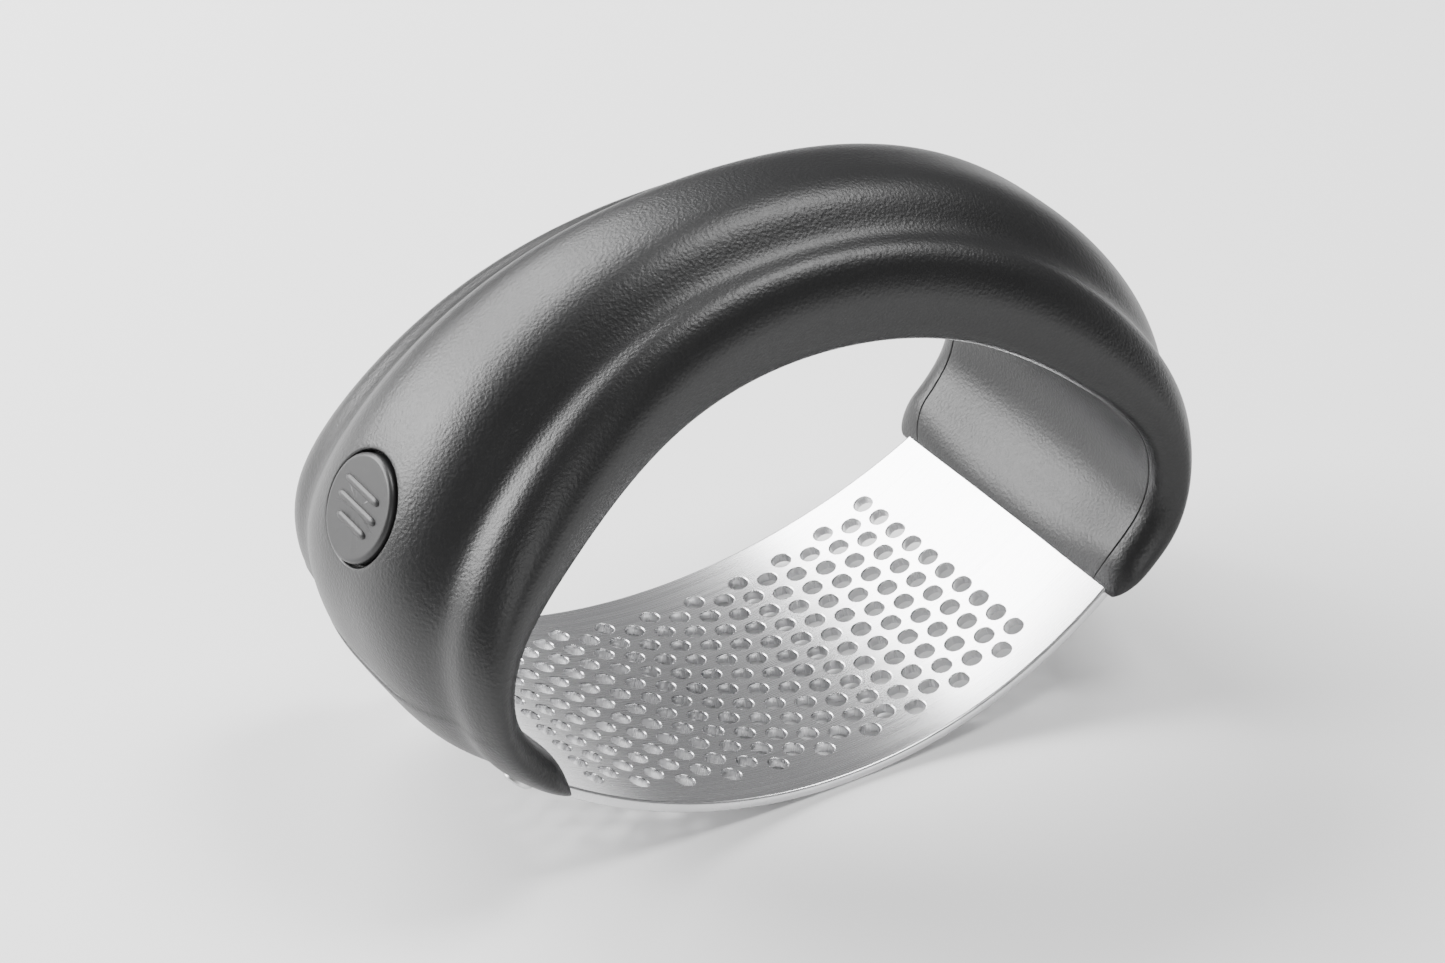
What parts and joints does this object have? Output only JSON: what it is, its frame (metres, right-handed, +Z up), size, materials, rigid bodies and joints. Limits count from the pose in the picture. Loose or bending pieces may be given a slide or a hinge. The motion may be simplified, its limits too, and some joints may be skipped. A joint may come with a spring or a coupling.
{
  "type": "garlic press",
  "caption": "Rocker garlic press: an arched hand grip over a curved perforated steel plate, with a sprung release button and latch bolt in one foot.",
  "frame": {"origin": "lowest point of the rocker plate's underside, under the middle of the press", "axes": "+X along the press from the foot with the button to the other foot, +Y across the plate, +Z up to the crown of the handle"},
  "size_m": [0.1203, 0.055, 0.078],
  "materials": {
    "handle_plastic": "fine-grained black moulding texture with a soft sheen",
    "liner_plastic": "fine-grained black moulding texture",
    "plate_steel": "brushed along its length, bright bevelled edges",
    "button_plastic": "smooth satin dark grey",
    "inner_plastic": "plain moulding",
    "spring_steel": "drawn wire",
    "latch_steel": "stamped strip",
    "screw_steel": "plain stainless"
  },
  "bodies": {
    "press": {"handle_outer_shell": "handle_plastic", "handle_inner_shell": "liner_plastic", "rocker_plate": "plate_steel", "button_guide": "inner_plastic", "button_spring": "spring_steel", "latch_spring": "spring_steel", "guide_screws": "screw_steel", "foot_screws": "screw_steel"},
    "button": {"release_button": "button_plastic"},
    "bolt": {"latch_bolt": "latch_steel"}
  },
  "joints": [
    {"name": "button_press", "type": "slide", "parent": "press", "child": "button", "axis": [0.8937, 0, -0.4487], "range_m": [0, 0.0015], "stiffness_N_per_m": 900, "springref_m": -0.0015, "deforming": ["button_spring"]},
    {"name": "latch_lift", "type": "slide", "parent": "press", "child": "bolt", "axis": [0.4487, 0, 0.8937], "range_m": [0, 0.0015], "stiffness_N_per_m": 300, "springref_m": -0.001, "deforming": ["latch_spring"]}
  ],
  "couplings": [
    {"joint": "latch_lift", "follows": "button_press", "ratio": 1}
  ]
}
